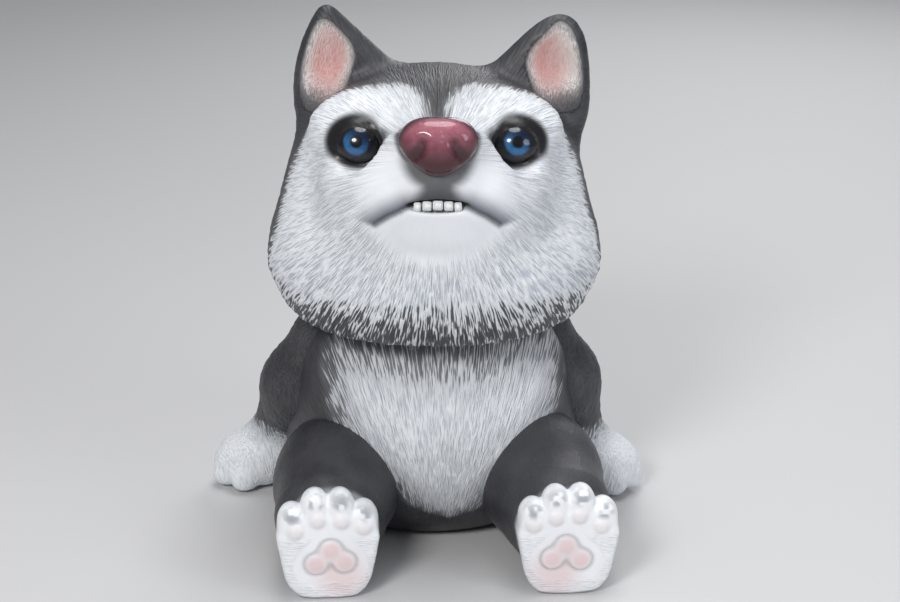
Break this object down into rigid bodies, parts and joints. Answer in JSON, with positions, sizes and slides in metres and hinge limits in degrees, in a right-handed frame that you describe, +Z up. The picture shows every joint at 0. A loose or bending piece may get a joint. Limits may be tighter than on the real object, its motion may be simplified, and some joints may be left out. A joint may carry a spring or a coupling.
{
  "type": "figural animal coin bank",
  "caption": "Sitting puppy coin bank: coin slot behind the head, hollow body, moulded limbs, domed eyes and a base stopper. That the head turns, and the split into pieces, are guesses.",
  "frame": {"origin": "middle of the whole object's bounding box in X and Y, at the table", "axes": "+Z up, the face and the soles of the feet towards -Y, +X on the puppy's own left"},
  "size_m": [0.1862, 0.1634, 0.2189],
  "materials": {
    "vinyl_charcoal": "soft vinyl, airbrushed charcoal to white, satin matt, moulded with fur strokes",
    "vinyl_white": "soft vinyl, airbrushed white with a charcoal crown, satin matt, moulded with fur strokes",
    "nose_gloss": "pink to maroon paint under clear gloss lacquer",
    "teeth_white": "white gloss paint",
    "eye_black": "black gloss",
    "iris_blue": "printed blue iris with a black pupil",
    "eye_clear": "clear polished dome",
    "stopper_rubber": "black matt rubber",
    "pad_rubber": "dark matt foam rubber"
  },
  "bodies": {
    "body": {"body_shell": "vinyl_charcoal", "tail": "vinyl_charcoal", "left_arm": "vinyl_charcoal", "right_arm": "vinyl_charcoal", "left_leg": "vinyl_charcoal", "right_leg": "vinyl_charcoal", "front_left_pad": "pad_rubber", "front_right_pad": "pad_rubber", "rear_left_pad": "pad_rubber", "rear_right_pad": "pad_rubber"},
    "head": {"head_shell": "vinyl_white", "nose": "nose_gloss", "upper_teeth": "teeth_white", "left_eye_cup": "eye_black", "left_iris": "iris_blue", "left_eye_dome": "eye_clear", "right_eye_cup": "eye_black", "right_iris": "iris_blue", "right_eye_dome": "eye_clear"},
    "stopper": {"stopper": "stopper_rubber"}
  },
  "joints": [
    {"name": "head_turn", "type": "hinge", "parent": "body", "child": "head", "pos_m": [0.00042, 0.0042, 0.0923], "axis": [0, 0, 1], "continuous": true},
    {"name": "stopper_pull", "type": "slide", "parent": "body", "child": "stopper", "axis": [0, 0, -1], "range_m": [0, 0.03]}
  ]
}
